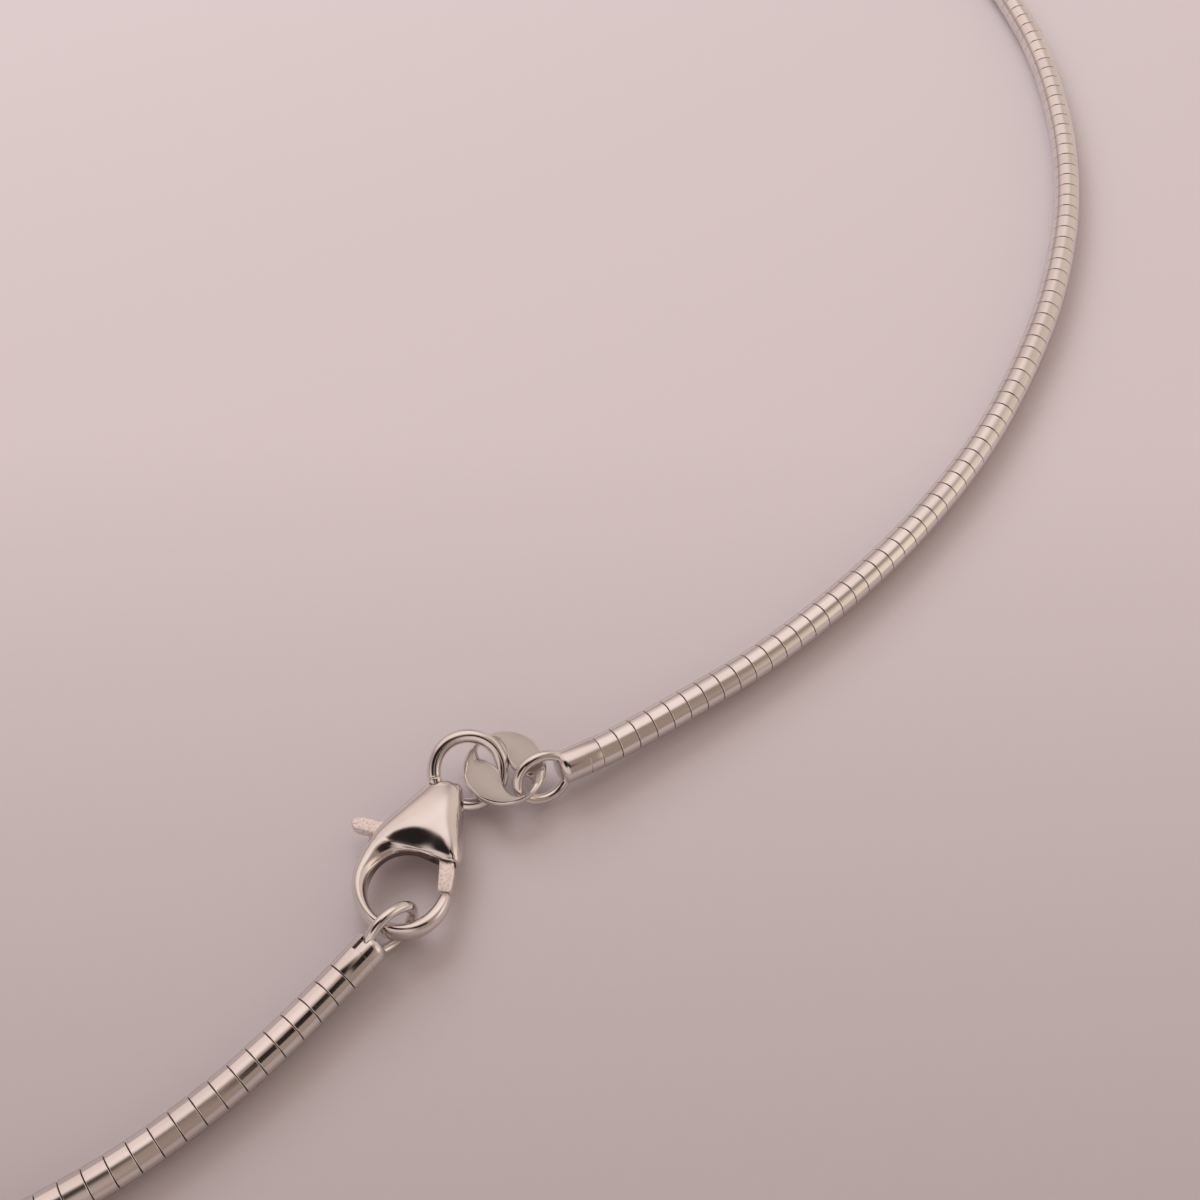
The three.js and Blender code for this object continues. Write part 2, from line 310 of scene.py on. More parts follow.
def backdropPaper():
    # painted shade: the pale paper grows darker towards the camera, standing in for the studio light
    # falling off on the near side
    finish = Finish("backdropPaper")
    grain = finish.noise(900, detail=3)
    away = finish.facing(finish.place(), paperLightFalloff["away"])
    start = floorPoint.xy.dot(Vector(paperLightFalloff["away"]).xy) * mm
    far = finish.ramp(away - start, paperLightFalloff["nearEdge"] * mm, paperLightFalloff["farEdge"] * mm)
    # painted light falloff from the near colour to the far colour
    color = finish.tint(far + grain * 0.06, paperLightFalloff["near"], paperLightFalloff["far"])
    return finish.shade(Base_Color=color, Roughness=0.75)


polished = polishedMetal()
claspMetal = polishedMetal("claspMetal", shaded=True)
plates = chainMetal()
stamped = stampedMetal()
satin = satinTag()
print("materials made")


# Chain: one plate, repeated along the whole route from cap to cap

capSettings = {
    "length": 2.3,
    "diameter": 1.98,
    "sides": 64,
    "rounding": 0.52,
    "backRounding": 0.02,
    "nose": 0.28,
    "slotWidth": 0.54,
    "slotFloor": 0.76,
    "slotCorner": 0.5,
    "overlap": 0.1,
    "seamWidth": 0.05,
    "seamDepth": 0.07,
    "seamReach": 0.9,
    "loopDepth": 0.62,
    "wire": 0.62,
    "loopLength": 3.78,
    "loopWidth": 3.14,
    "smoothAngle": 40,
}

chainSettings = {
    "diameter": 1.945,
    "plateLength": 1.225,
    "sides": 16,
    "grooveDepth": 0.13,
    "grooveWidth": 0.065,
    "edgeRounding": 0.02,
    # where the painted shade in the grooves begins, and how fast it darkens
    "grooveStart": 0.3,
    "grooveContrast": 1.6,
    "gapToCap": 0.02,
    "straight": 0.6,
    "rest": 0.97,
    "width": 160.6,
    "depth": 110.1,
    "curveSteps": 24,
    "shadeSeed": 4,
    "smoothAngle": 30,
}

# The route in shares of the loop's width and depth, and the height where it's lifted
chainRoute = [
    (0.0940, -0.0209, 1.15), (0.1339, -0.0332), (0.1806, -0.0404), (0.2260, -0.0409),
    (0.2771, -0.0332), (0.3269, -0.0163), (0.3798, 0.0104), (0.4359, 0.0522),
    (0.4888, 0.1090), (0.5386, 0.1844), (0.5809, 0.2861), (0.6040, 0.4087),
    (0.5990, 0.5450), (0.5641, 0.6767), (0.4981, 0.7947), (0.4078, 0.8856),
    (0.2989, 0.9382), (0.1743, 0.9591), (0.0498, 0.9573), (-0.0747, 0.9292),
    (-0.1930, 0.8647), (-0.2895, 0.7675), (-0.3611, 0.6403), (-0.3960, 0.4950),
    (-0.3923, 0.3451), (-0.3518, 0.2089), (-0.2864, 0.1026), (-0.2148, 0.0381),
    (-0.1588, 0.0082), (-0.1202, -0.0018), (-0.0903, -0.0041, 1.14),
]


def chainEnd(place, beyond=0):
    reach = capSettings["length"] + chainSettings["gapToCap"] + beyond
    aim = turned(place["heading"] + place["yaw"], "Z") @ turned(place["pitch"], "Y")
    return Vector(place["end"]) + aim @ Vector((-reach, 0, 0))


def curveThrough(points, steps):
    # from the second point up to the last but one, timed by the roots of the distances
    line = []
    for a, b, c, d in zip(points, points[1:], points[2:], points[3:]):
        before, here, after = ((q - p).length ** 0.5 for p, q in ((a, b), (b, c), (c, d)))
        leave = ((b - a) / before - (c - a) / (before + here) + (c - b) / here) * here
        arrive = ((c - b) / here - (d - b) / (here + after) + (d - c) / after) * here
        for k in range(steps):
            t = k / steps
            line.append((2 * t ** 3 - 3 * t ** 2 + 1) * b + (t ** 3 - 2 * t ** 2 + t) * leave
                        + (3 * t ** 2 - 2 * t ** 3) * c + (t ** 3 - t ** 2) * arrive)
    return line


def openLine(points, steps):
    ends = [2 * points[0] - points[1], *points, 2 * points[-1] - points[-2]]
    return [*curveThrough(ends, steps), points[-1]]


def closedLine(points, steps):
    return curveThrough([points[-1], *points, *points[:2]], steps)


def routeLine():
    wide, deep = chainSettings["width"], chainSettings["depth"]
    straight = chainSettings["straight"]
    points = [chainEnd(tagCapPlace), chainEnd(tagCapPlace, straight)]
    for across, back, *lift in chainRoute:
        height = lift[0] if lift else chainSettings["rest"]
        points.append(Vector((across * wide, back * deep, height)))
    points += [chainEnd(hookCapPlace, straight), chainEnd(hookCapPlace)]
    return openLine(points, chainSettings["curveSteps"])


def layChain():
    line = routeLine()
    length = sum((b - a).length for a, b in zip(line, line[1:]))
    count = round(length / chainSettings["plateLength"])
    pitch = length / count
    radius = chainSettings["diameter"] / 2
    grooveRadius = radius - chainSettings["grooveDepth"]
    flat = pitch - chainSettings["grooveWidth"]
    middle = (pitch / 2, 0, 0)
    clearSelection()
    bpy.ops.mesh.primitive_cylinder_add(vertices=chainSettings["sides"], radius=radius, depth=flat,
                                        end_fill_type="NOTHING", rotation=(0, math.pi / 2, 0),
                                        location=middle)
    chain = applyShape(named("chainPlates"))
    selectEdges(chain, lambda edge: edge.is_boundary)
    bpy.ops.mesh.extrude_edges_move(MESH_OT_extrude_edges_indiv={},
                                    TRANSFORM_OT_translate={"value": (0, 0, 0)})
    shrink = grooveRadius / radius
    bpy.ops.transform.resize(value=(pitch / flat, shrink, shrink), center_override=middle)

    def isRim(edge):
        outside = all(abs(v.co.yz.length - radius) < closeBy for v in edge.verts)
        return outside and abs(edge.verts[0].co.x - edge.verts[1].co.x) < closeBy
    selectEdges(chain, isRim)
    bpy.ops.mesh.bevel(offset=chainSettings["edgeRounding"], segments=1)
    bpy.ops.object.mode_set(mode="OBJECT")
    array = chain.modifiers.new("plates", "ARRAY")
    array.count = count
    array.relative_offset_displace = (1, 0, 0)
    array.use_merge_vertices = True
    array.merge_threshold = weld
    applyAll(chain)
    selectEdges(chain, lambda edge: edge.is_boundary)
    bpy.ops.mesh.fill_holes(sides=0)
    bpy.ops.object.mode_set(mode="OBJECT")
    cleanUp(chain)
    # painted shade in the grooves: the deeper, the darker
    grooveShade = chain.data.attributes.new("grooveShade", "FLOAT", "POINT")
    plate = chain.data.attributes.new("plate", "FLOAT", "POINT")
    draw = random.Random(chainSettings["shadeSeed"])
    shades = [draw.random() for _ in range(count + 1)]
    for i, vertex in enumerate(chain.data.vertices):
        deep = (radius - vertex.co.yz.length) / (radius - grooveRadius)
        grooveShade.data[i].value = clamp(deep * chainSettings["grooveContrast"] - chainSettings["grooveStart"])
        plate.data[i].value = shades[int(vertex.co.x / pitch)]
    path = bpy.data.curves.new("chainPath", "CURVE")
    path.dimensions = "3D"
    path.twist_mode = "Z_UP"
    spline = path.splines.new("POLY")
    spline.points.add(len(line) - 1)
    for point, spot in zip(spline.points, line):
        point.co = (*spot, 1)
    pathObject = bpy.data.objects.new("chainPath", path)
    bpy.context.scene.collection.objects.link(pathObject)
    bend = chain.modifiers.new("bend", "CURVE")
    bend.object = pathObject
    bend.deform_axis = "POS_X"
    applyAll(chain)
    bpy.data.objects.remove(pathObject, do_unlink=True)
    cleanUp(chain)
    setDown(chain, placed((0, 0, 0)), chainSettings["smoothAngle"])
    hand(chain, plates, "chain_plates", "omega_chain")
    print("chain laid:", count, "plates,", round(length, 1), "mm,", len(chain.data.polygons), "faces")


layChain()


# End caps: a slotted barrel with a wire loop soldered in

def halfSeam(fromEnd, side, radius):
    # a thin cut into one side of the barrel
    clearSelection()
    bpy.ops.mesh.primitive_cube_add(size=1, location=(-fromEnd, 0, radius))
    cutter = named("seamCutter")
    cutter.scale = (capSettings["seamWidth"], 2.4 * radius, radius * capSettings["seamReach"])
    applyShape(cutter)
    clearSelection()
    bpy.ops.mesh.primitive_cylinder_add(vertices=capSettings["sides"], depth=1,
                                        radius=radius - capSettings["seamDepth"],
                                        rotation=(0, math.pi / 2, 0), location=(-fromEnd, 0, 0))
    combine(cutter, applyShape(named("seamCore")), "DIFFERENCE")
    cutter.data.transform(turned(side, "X"))
    return cutter


def capWithLoop(name, place, node):
    length, radius, nose = capSettings["length"], capSettings["diameter"] / 2, capSettings["nose"]
    clearSelection()
    bpy.ops.mesh.primitive_cylinder_add(vertices=capSettings["sides"], radius=radius, depth=length + nose,
                                        rotation=(0, math.pi / 2, 0), location=((nose - length) / 2, 0, 0))
    barrel = applyShape(named(name))
    selectEdges(barrel, lambda edge: all(abs(v.co.x - nose) < closeBy for v in edge.verts))
    bpy.ops.mesh.bevel(offset=capSettings["rounding"], segments=8, profile=0.5)
    selectEdges(barrel, lambda edge: all(abs(v.co.x + length) < closeBy for v in edge.verts))
    bpy.ops.mesh.bevel(offset=capSettings["backRounding"], segments=3, profile=0.5)
    clearSelection()
    bpy.ops.mesh.primitive_cube_add(size=1, location=(0, 0, 0))
    slotCutter = named("slotCutter")
    slotCutter.scale = (2 * place["slot"], 3 * radius, capSettings["slotWidth"])
    applyShape(slotCutter)
    combine(barrel, slotCutter, "DIFFERENCE")
    clearSelection()
    bpy.ops.mesh.primitive_cube_add(size=1, location=(-place["slot"], 0, 0))
    core = named("slotCore")
    core.scale = (2 * place["slot"] - capSettings["slotCorner"], 2 * capSettings["slotFloor"],
                  capSettings["slotWidth"] + capSettings["overlap"])
    combine(barrel, applyShape(core), "UNION")
    combine(barrel, halfSeam(*place["seam"], radius), "DIFFERENCE")
    aim = turned(place["yaw"], "Z") @ turned(place["pitch"], "Y")
    barrel.data.transform(turned(-place["roll"], "X") @ aim @ turned(place["roll"], "X"))
    wire = capSettings["wire"]
    ahead = capSettings["loopLength"] / 2 - capSettings["loopDepth"]
    clearSelection()
    bpy.ops.curve.primitive_bezier_circle_add(radius=1, location=(ahead, 0, 0))
    loop = named("wireLoop")
    loop.scale = ((capSettings["loopLength"] - wire) / 2, (capSettings["loopWidth"] - wire) / 2, 1)
    applyShape(loop)
    for point in loop.data.splines[0].bezier_points:
        # the scaling above changed the wire's thickness too
        point.radius = 1
    loop.data.resolution_u = 24
    loop.data.bevel_depth = wire / 2
    loop.data.bevel_resolution = 6
    pick(loop)
    bpy.ops.object.convert(target="MESH")
    cleanUp(loop)
    combine(barrel, loop, "UNION")
    turn = turned(place["heading"], "Z") @ turned(place["roll"], "X")
    setDown(barrel, placed(place["end"]) @ turn, capSettings["smoothAngle"])
    hand(barrel, polished, "polished_metal", node)
    print(name, "made")


capWithLoop("endCapHookSide", hookCapPlace, "end_cap_hook_side")
capWithLoop("endCapTagSide", tagCapPlace, "end_cap_tag_side")


# Ring of round wire through the clasp's head and the tag

ringSettings = {
    "diameter": 4.8,
    "wire": 0.81,
    "headHole": 1.06,
    "seam": 183,
    "seamWidth": 0.05,
    "seamDepth": 0.06,
    "steps": 112,
    "wireSides": 28,
    "smoothAngle": 60,
}


def ringMatrix():
    tilt = turned(ringPlace["rise"], "X") @ turned(-ringPlace["lean"], "Y")
    return Matrix.Translation(ringPlace["centre"]) @ turned(ringPlace["facing"] - 90, "Z") @ tilt


def ringRadius():
    return (ringSettings["diameter"] - ringSettings["wire"]) / 2


def bendRing():
    clearSelection()
    bpy.ops.mesh.primitive_torus_add(major_segments=ringSettings["steps"],
                                     minor_segments=ringSettings["wireSides"],
                                     major_radius=ringRadius(), minor_radius=ringSettings["wire"] / 2)
    ring = named("claspRing")
    step = 360 / ringSettings["steps"]
    seamAt = round(ringSettings["seam"] / step) * step

    def isSeam(edge):
        turns = [math.degrees(math.atan2(v.co.y, v.co.x)) for v in edge.verts]
        return all(abs((turn - seamAt + 180) % 360 - 180) < step / 10 for turn in turns)
    selectEdges(ring, isSeam)
    bpy.ops.mesh.bevel(offset=ringSettings["seamWidth"], segments=2, profile=0.5)
    selectEdges(ring, isSeam)
    bpy.ops.transform.shrink_fatten(value=-ringSettings["seamDepth"])
    bpy.ops.object.mode_set(mode="OBJECT")
    setDown(ring, Matrix.Translation(floorPoint) @ ringMatrix(), ringSettings["smoothAngle"])
    hand(ring, polished, "polished_metal", "clasp_ring")
    print("ring bent")


bendRing()


# Tag: a round flat link with a double-curved opening

tagSettings = {
    "diameter": 4.86,
    "thickness": 0.5,
    "steps": 8,
    "rounding": 0.13,
    "flatFrom": 0.98,
    "smoothAngle": 40,
}

# Half of the opening in shares of the radius, and how far its rim lies ahead, in hundreds of degrees
tagOpening = [
    (-0.57, 0.33, 0.27), (-0.62, 0.57, 0.08), (-0.5, 0.76, 0.03), (-0.27, 0.82, 0.02),
    (-0.07, 0.73, 0.03), (0.05, 0.53, 0), (0.09, 0.32, -0.02), (0.13, 0.1, 0.12),
    (0.24, -0.06, 0.36), (0.4, -0.21, 0.38),
]
# How much the tag is a round wire at each of these points, and not a flat lobe
wireShares = [1, 1, 0.7, 0, 0, 0, 0, 0, 0, 0.05]

# Across the tag from the opening to the rim: share of the way, inset and height
tagRows = [(0, 0, 0), (0, 0, 0.55), (0, 0.35, 0.86), (0, 1, 1), (0.5, 0, 1), (1, -1, 1), (1, -0.35, 0.86),
           (1, 0, 0.55), (1, 0, 0)]
tagRows += [(share, inset, -height) for share, inset, height in reversed(tagRows[1:-1])]


def cutTag():
    radius = tagSettings["diameter"] / 2
    steps = tagSettings["steps"]
    half = [Vector(point) for point in tagOpening]
    edge = closedLine([*half, *(Vector((-p.x, -p.y, p.z)) for p in half)], steps)
    clearSelection()
    bpy.ops.mesh.primitive_torus_add(major_segments=len(edge), minor_segments=len(tagRows))
    tag = named("flatTag")
    for index, vertex in enumerate(tag.data.vertices):
        i, j = divmod(index, len(tagRows))
        spot = edge[i].xy
        turn = math.atan2(spot.y, spot.x) + math.radians(edge[i].z * 100)
        rim = Vector((math.cos(turn), math.sin(turn)))
        across = (rim - spot) * radius
        at, near = (i / steps) % len(half), int(i / steps) % len(half)
        ahead = wireShares[(near + 1) % len(half)]
        wired = wireShares[near] + (ahead - wireShares[near]) * (at - near)
        share, inset, height = tagRows[j]
        flat = spot * radius + across * share + across.normalized() * inset * tagSettings["rounding"]
        angle = 2 * math.pi * j / len(tagRows)
        wire = spot * radius + across * (1 - math.cos(angle)) / 2
        place = flat.lerp(wire, wired)
        rise = height * (1 - wired) + math.sin(angle) * wired
        vertex.co = (place.x, place.y, rise * tagSettings["thickness"] / 2)
    cleanUp(tag)
    face = tag.data.attributes.new("face", "FLOAT", "FACE")
    for polygon in tag.data.polygons:
        face.data[polygon.index].value = 1.0 if abs(polygon.normal.z) > tagSettings["flatFrom"] else 0.0
    place = placed(tagPlace["centre"]) @ turned(tagPlace["turn"], "Z")
    setDown(tag, place, tagSettings["smoothAngle"])
    hand(tag, satin, "polished_metal", "tag")
    print("tag cut")


cutTag()


# Clasp, in its own frame: +X runs to the head, +Y to the thumb side

claspSettings = {
    "mouthCentre": (0.12, 0.1),
    "mouthRadius": 2.2,
    "mouthClearance": 0.04,
    "clearStations": 4,
    "creaseStations": 14,
    "hookCentre": (0.12, 0.18),
    "hookLength": 1.25,
    "hookBlend": 0.5,
    "headBulge": 0.2,
    "endInset": 0.09,
    "lipCrease": 0.7,
    "smoothing": 2,
    "softenings": 14,
    "broadFrom": 0.9,
    "slotHeight": 0.72,
    "armReach": 7,
    # how far out and how strong the painted shade on the mouth's inner wall is
    "wallDepth": 0.9,
    "wallShade": 0.9,
    "smoothAngle": 38,
}

# From the head to the hook: outer edge, inner edge, and half the height
bodyStations = [
    ((6.86, 0.40), (6.92, -1.66), 0.56), ((6.3, 0.76), (6.2, -1.86), 0.84),
    ((5.6, 1.20), (5.4, -2.03), 1.04), ((4.7, 1.85), (4.4, -2.22), 1.14),
    ((4.2, 2.18), (3.85, -2.34), 1.17), ((3.8, 2.42), (3.4, -2.44), 1.18),
    ((3.5, 2.58), (3.08, -2.5), 1.18), ((3.27, 2.7), (2.75, -2.56), 1.17),
    ((3.1, 2.77), (2.45, -2.56), 1.17), ((2.95, 2.83), (2.15, -2.55), 1.17),
    ((2.82, 2.87), (1.9, -2.35), 1.17), ((2.68, 2.9), (2.05, -1.1), 1.16),
    ((2.52, 2.95), (2.27, -0.3), 1.16), ((2.32, 3.02), (2.31, 0.4), 1.15),
    ((2.0, 3.1), (2.1, 1.1), 1.14), ((1.6, 3.18), (1.65, 1.67), 1.12),
    ((1.0, 3.26), (1.02, 2.09), 1.08), ((0.2, 3.22), (0.2, 2.28), 1.02),
    ((-0.62, 3.03), (-0.62, 2.17), 0.96), ((-1.45, 2.57), (-1.3, 1.82), 0.89),
    ((-2.08, 1.95), (-1.72, 1.46), 0.84),
]
# The station where the mouth's lip starts
lipFrom = 10

# Round the hook: angle, outer and inner reach from its centre, and half the height
hookStations = [
    (155, 2.91, 2.26, 0.82), (168, 2.96, 2.3, 0.79), (181, 3.0, 2.33, 0.77), (194, 3.04, 2.3, 0.74),
    (207, 3.06, 2.25, 0.72), (220, 3.04, 2.18, 0.7), (233, 2.98, 2.12, 0.67), (246, 2.9, 2.08, 0.62),
    (258, 2.81, 2.07, 0.54), (266, 2.74, 2.1, 0.44), (269.5, 2.66, 2.18, 0.32),
]

# Over the top from the outer to the inner edge, and back underneath
topShares = [0, 0.02, 0.08, 0.17, 0.28, 0.4, 0.52, 0.63, 0.73, 0.82, 0.9, 0.96, 1]
claspRows = [*((share, 1) for share in topShares), (1, 0), *((share, -1) for share in reversed(topShares))]

# How the height grows away from the outer outline, the right outline and the lip, and across the hook
outerRise = [(0, 0), (0.05, 0.2), (0.2, 0.43), (0.5, 0.66), (1.0, 0.84), (1.8, 0.95), (2.8, 1.0), (5, 1.04)]
rightRise = [(0, 0.16), (0.05, 0.34), (0.2, 0.56), (0.45, 0.76), (0.8, 0.91), (1.3, 1.02), (2, 1.06)]
lipRise = [(0, 0.22), (0.15, 0.4), (0.3, 0.54), (0.75, 0.76), (1.2, 0.92), (1.8, 1.0), (2.6, 1.05)]
hookRise = [(0, 0), (0.03, 0.42), (0.13, 0.74), (0.3, 0.94), (0.5, 1.0), (0.7, 0.95), (0.86, 0.82),
            (0.96, 0.66), (1, 0.5)]


def along(table, distance):
    for (a, low), (b, high) in zip(table, table[1:]):
        if distance <= b:
            return low + (high - low) * max(0, distance - a) / (b - a)
    return table[-1][1]


def awayFrom(line, spot):
    away = []
    for a, b in zip(line, line[1:]):
        share = clamp((spot - a).dot(b - a) / (b - a).length_squared)
        away.append((spot - a.lerp(b, share)).length)
    return min(away)


def claspSpot(index, stations, share, side):
    outer, inner, height = stations[index]
    length = (outer - inner).length
    spot = outer.lerp(inner, share)
    centre = Vector(claspSettings["mouthCentre"])
    cleared = lipFrom + claspSettings["clearStations"] - index
    if index >= lipFrom and cleared > 0:
        # keeps the rows off the mouth where their straight way would cross it
        clear = claspSettings["mouthRadius"]
        clear += claspSettings["mouthClearance"] * cleared * min(1, (1 - share) * 6)
        spot = centre + (spot - centre).normalized() * max(clear, (spot - centre).length)
    if share == 1:
        spot = inner
    outline = [station[0] for station in stations]
    right = [station[1] for station in stations[:lipFrom]]
    mouth = [station[1] for station in stations[lipFrom - 1:]]
    lip = along(lipRise, awayFrom(mouth, spot))
    # the lip stands higher towards the gate
    lip += (1 - lip) * 0.3 * clamp((-0.3 - spot.y) / 0.7)
    domed = min(along(outerRise, awayFrom(outline, spot)), along(rightRise, awayFrom(right, spot)), lip)
    hooked = clamp((claspSettings["hookLength"] - length) / claspSettings["hookBlend"])
    rise = domed * (1 - hooked) + along(hookRise, share) * hooked
    bulge = claspSettings["headBulge"] * (1 - (2 * share - 1) ** 2) if index == 0 else 0
    return spot.x + bulge, spot.y, rise * height * side


def claspStations():
    stations = [(Vector(outer), Vector(inner), height) for outer, inner, height in bodyStations]
    centre = Vector(claspSettings["hookCentre"])
    for angle, outer, inner, height in hookStations:
        out = Vector((math.cos(math.radians(angle)), math.sin(math.radians(angle))))
        stations.append((centre + out * outer, centre + out * inner, height))
    return stations


def slab(name, outline, height):
    # a flat plate of an outline, centred on the middle plane
    clearSelection()
    bpy.ops.mesh.primitive_circle_add(vertices=len(outline), radius=1, fill_type="NGON")
    plate = named(name)
    for vertex, (x, y) in zip(plate.data.vertices, outline):
        vertex.co = (x, y, -height / 2)
    pick(plate)
    bpy.ops.object.mode_set(mode="EDIT")
    bpy.ops.mesh.select_all(action="SELECT")
    bpy.ops.mesh.extrude_region_move(TRANSFORM_OT_translate={"value": (0, 0, height)})
    bpy.ops.object.mode_set(mode="OBJECT")
    return cleanUp(plate)


leverSettings = {
    "pivot": (3.0, -1.5),
    "armAngle": 83.9,
    "armHalf": 0.43,
    "swing": 25,
    "gap": 0.12,
    "thickness": 0.6,
    "eyeRadius": 0.62,
    "boreRadius": 0.3,
    "rounding": 0.07,
    "sharpFrom": 1.2,
    "smoothAngle": 40,
}

# Round the gate's tip, up the thumb arm and back past the eye
leverOutline = [
    (0.28, -2.47), (0.16, -2.36), (0.14, -1.78), (0.24, -1.68), (1.2, -1.53), (2.0, -1.4), (2.42, -1.2),
    (2.6, -0.8), (2.72, 0.0), (2.9, 1.7), (3.08, 3.4), (3.14, 3.75), (3.32, 3.98), (3.58, 4.05),
    (3.82, 3.96), (3.96, 3.72), (3.97, 3.4), (3.79, 1.7), (3.6, 0.0), (3.52, -0.9), (3.6, -1.4),
    (3.52, -1.82), (3.28, -2.06), (2.9, -2.14), (2.5, -2.18), (2.1, -2.23), (1.75, -2.3), (1.4, -2.42),
]

# Where the gate's root lies and swings, open to the mouth only
gateRoom = [(3.3, -2.2), (2.6, -2.26), (2.1, -2.3), (1.2, -2.5), (0.2, -0.4), (1.9, -0.7), (3.0, -1.0)]


def fan(angle, halfWidth, reach):
    # the room that an arm sweeps as the lever turns
    pivot = Vector(leverSettings["pivot"])
    outline = []
    start, end = math.radians(angle), math.radians(angle - leverSettings["swing"])
    for turn, side in ((start, 1), (end, -1)):
        root = pivot + Vector((-math.sin(turn), math.cos(turn))) * halfWidth * side
        corners = [root, root + Vector((math.cos(turn), math.sin(turn))) * reach]
        outline += corners if side == 1 else corners[::-1]
    return outline


def softenDome(clasp, mouth):
    # evens out the broad surfaces and leaves the lip and the hook as they are
    pick(clasp)
    bpy.ops.object.mode_set(mode="EDIT")
    bpy.ops.mesh.select_mode(type="VERT")
    bpy.ops.mesh.select_all(action="DESELECT")
    shape = bmesh.from_edit_mesh(clasp.data)
    for vertex in shape.verts:
        broad = vertex.co.x > claspSettings["broadFrom"] and abs(vertex.co.z) > 0.3
        vertex.select_set(broad and awayFrom(mouth, vertex.co.xy) > 0.1)
    bmesh.update_edit_mesh(clasp.data)
    bpy.ops.mesh.vertices_smooth(factor=0.5, repeat=claspSettings["softenings"])
    bpy.ops.object.mode_set(mode="OBJECT")


def paintMouthShade(clasp):
    # painted shade: dark brown on the inner wall of the mouth, fading out towards the hook
    shade = clasp.data.attributes.new("shade", "FLOAT", "FACE")
    centre = Vector(claspSettings["mouthCentre"])
    for polygon in clasp.data.polygons:
        out = polygon.center.xy - centre
        close = out.length < claspSettings["mouthRadius"] + claspSettings["wallDepth"]
        upright = abs(polygon.normal.z) < 0.35
        inward = polygon.normal.xy.dot(out.normalized()) < -0.5
        near = clamp((out.x + 0.4) / 1.2)
        wall = close and upright and inward
        shade.data[polygon.index].value = claspSettings["wallShade"] * near if wall else 0


def claspShell(stations):
    # a grid wrapped round the stations, closed at both ends
    rows = len(claspRows)
    clearSelection()
    bpy.ops.mesh.primitive_grid_add(x_subdivisions=len(stations) - 1, y_subdivisions=rows - 1, size=2)
    clasp = named("claspBody")
    for vertex in clasp.data.vertices:
        i = round((vertex.co.x + 1) / 2 * (len(stations) - 1))
        j = round((vertex.co.y + 1) / 2 * (rows - 1))
        vertex.co = claspSpot(i, stations, *claspRows[j])
    cleanUp(clasp, weld)
    selectEdges(clasp, lambda edge: edge.is_boundary)
    bpy.ops.mesh.fill_holes(sides=0)
    bpy.ops.object.mode_set(mode="OBJECT")
    cleanUp(clasp, weld)
    pick(clasp)
    bpy.ops.object.mode_set(mode="EDIT")
    bpy.ops.mesh.select_all(action="DESELECT")
    shape = bmesh.from_edit_mesh(clasp.data)
    for face in shape.faces:
        face.select_set(len(face.verts) > 4)
    bmesh.update_edit_mesh(clasp.data)
    bpy.ops.mesh.inset(thickness=claspSettings["endInset"], use_individual=True)
    bpy.ops.object.mode_set(mode="OBJECT")
    return clasp


def smoothShell(clasp, stations):
    inner = [station[1] for station in stations[lipFrom:lipFrom + claspSettings["creaseStations"]]]

    def onLip(vertex):
        return abs(vertex.co.z) > 0.2 and any((vertex.co.xy - spot).length < 0.03 for spot in inner)
    selectEdges(clasp, lambda edge: all(onLip(vertex) for vertex in edge.verts))
    bpy.ops.transform.edge_crease(value=claspSettings["lipCrease"])
    bpy.ops.object.mode_set(mode="OBJECT")
    smooth = clasp.modifiers.new("smooth", "SUBSURF")
    smooth.levels = claspSettings["smoothing"]
    smooth.render_levels = claspSettings["smoothing"]
    applyAll(clasp)
    softenDome(clasp, [station[1] for station in stations[lipFrom - 1:]])


def claspCutters():
    # room for the lever's arm, gate and eye, and the ring's bore through the head
    height = claspSettings["slotHeight"]
    gap = leverSettings["gap"]
    swept = fan(leverSettings["armAngle"], leverSettings["armHalf"] + gap, claspSettings["armReach"])
    cutters = [slab("armRoom", swept, height), slab("gateRoom", gateRoom, height)]
    clearSelection()
    bpy.ops.mesh.primitive_cylinder_add(vertices=48, radius=leverSettings["eyeRadius"] + gap, depth=height,
                                        location=(*leverSettings["pivot"], 0))
    cutters.append(applyShape(named("eyeRoom")))
    clearSelection()
    bpy.ops.mesh.primitive_torus_add(major_segments=80, minor_segments=24, major_radius=ringRadius(),
                                     minor_radius=ringSettings["headHole"] / 2)
    bore = named("ringBore")
    claspFrame = Matrix.Translation(claspPlace["centre"]) @ turned(claspPlace["turn"], "Z")
    bore.data.transform(claspFrame.inverted() @ ringMatrix())
    return [*cutters, bore]


def claspMatrix():
    return placed(claspPlace["centre"]) @ turned(claspPlace["turn"], "Z")


def carveClasp():
    stations = claspStations()
    clasp = claspShell(stations)
    smoothShell(clasp, stations)
    for cutter in claspCutters():
        combine(clasp, cutter, "DIFFERENCE")
    paintMouthShade(clasp)
    setDown(clasp, claspMatrix(), claspSettings["smoothAngle"])
    hand(clasp, claspMetal, "polished_metal", "clasp_body")
    print("clasp carved:", len(clasp.data.polygons), "faces")


carveClasp()


def cutLever():
    lever = slab("claspLever", leverOutline, leverSettings["thickness"])
    clearSelection()
    bpy.ops.mesh.primitive_cylinder_add(vertices=32, radius=leverSettings["boreRadius"], depth=2,
                                        location=(*leverSettings["pivot"], 0))
    combine(lever, applyShape(named("pinBore")), "DIFFERENCE")
    sharp = leverSettings["sharpFrom"]
    selectEdges(lever, lambda edge: len(edge.link_faces) == 2 and edge.calc_face_angle() > sharp)
    bpy.ops.mesh.bevel(offset=leverSettings["rounding"], segments=3, profile=0.5)
    bpy.ops.object.mode_set(mode="OBJECT")
    setDown(lever, claspMatrix(), leverSettings["smoothAngle"])
    hand(lever, stamped, "stamped_metal", "clasp_lever", rides="lever")
    print("lever cut")


